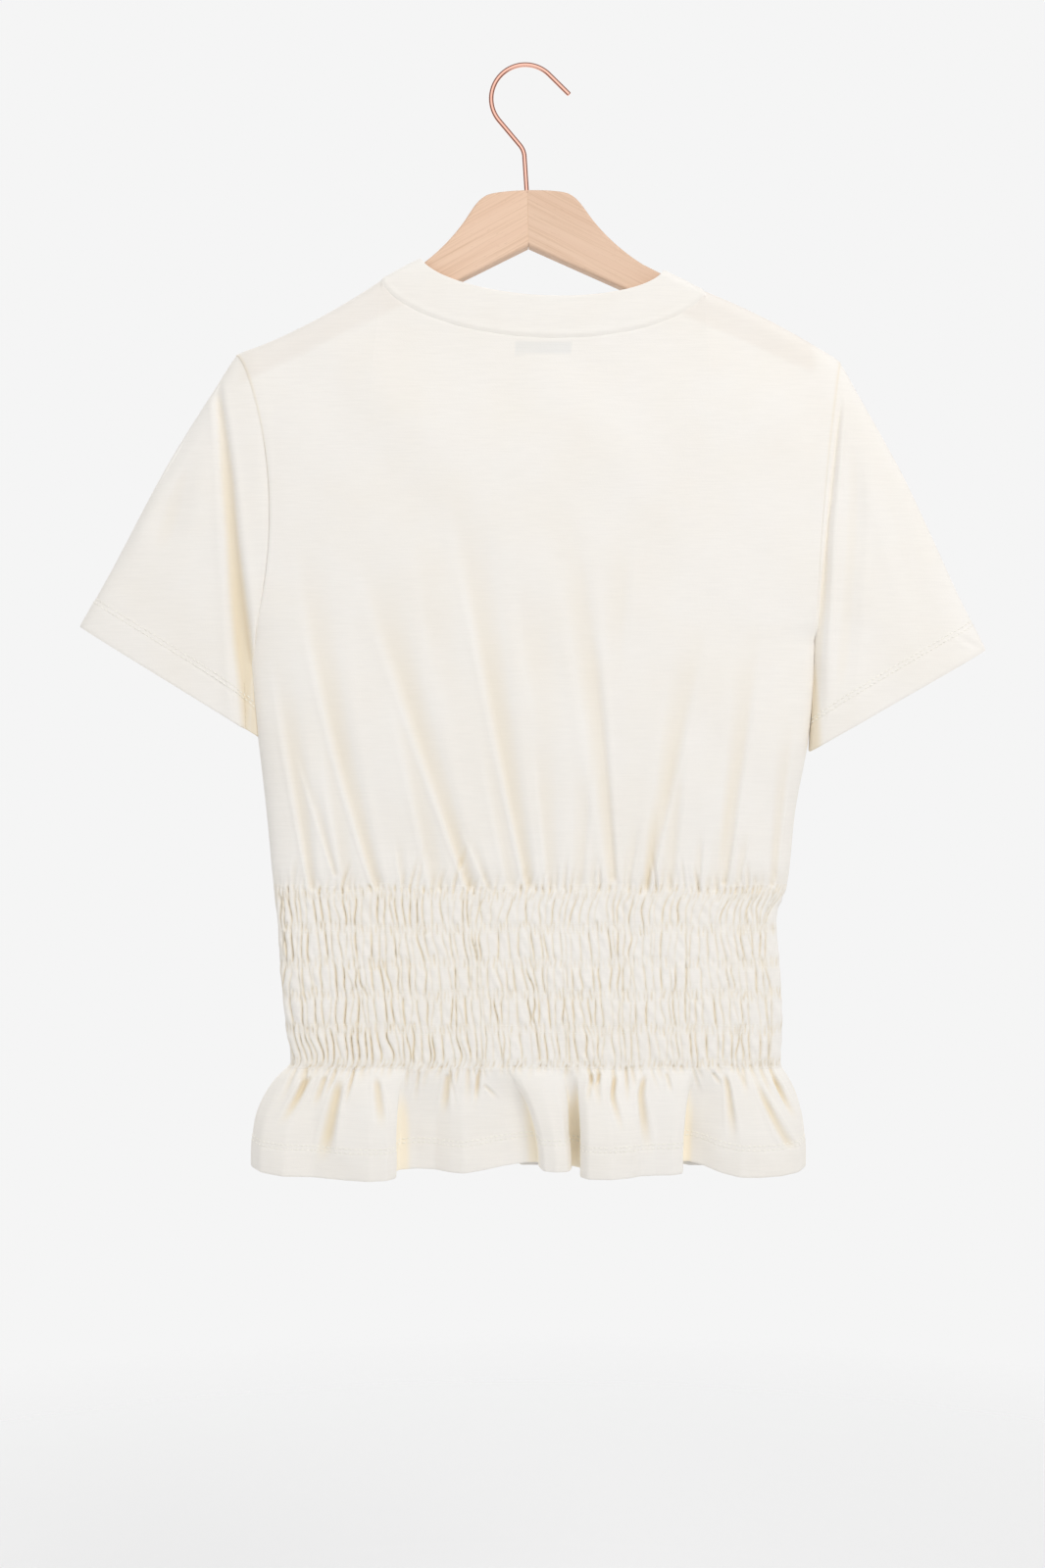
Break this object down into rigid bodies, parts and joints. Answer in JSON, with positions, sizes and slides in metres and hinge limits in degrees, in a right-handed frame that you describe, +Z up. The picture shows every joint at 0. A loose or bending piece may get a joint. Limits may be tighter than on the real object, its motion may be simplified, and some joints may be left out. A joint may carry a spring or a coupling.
{
  "type": "smocked t-shirt on a wooden hanger",
  "caption": "Short-sleeved jersey t-shirt with an elastic smocked waist and a fluted peplum hem, hanging on a wooden hanger with a wire hook.",
  "frame": {"origin": "inside top of the hanger's hook, where the garment hangs from a rail or peg", "axes": "+Z up, +X across the shoulders, -Y out of the garment's back and +Y out of its front"},
  "size_m": [0.6095, 0.0401, 0.7502],
  "materials": {
    "jersey": "cream cotton jersey, soft and matt",
    "label": "plain woven label, blank",
    "wood": "pale beech, satin",
    "hook_metal": "polished rose gold plating"
  },
  "bodies": {
    "root": {"back_panel": "jersey", "front_panel": "jersey", "sleeve_left": "jersey", "sleeve_right": "jersey", "neckband": "jersey", "neck_label": "label", "hanger_arm_left": "wood", "hanger_arm_right": "wood", "hanger_hook": "hook_metal"}
  },
  "joints": []
}
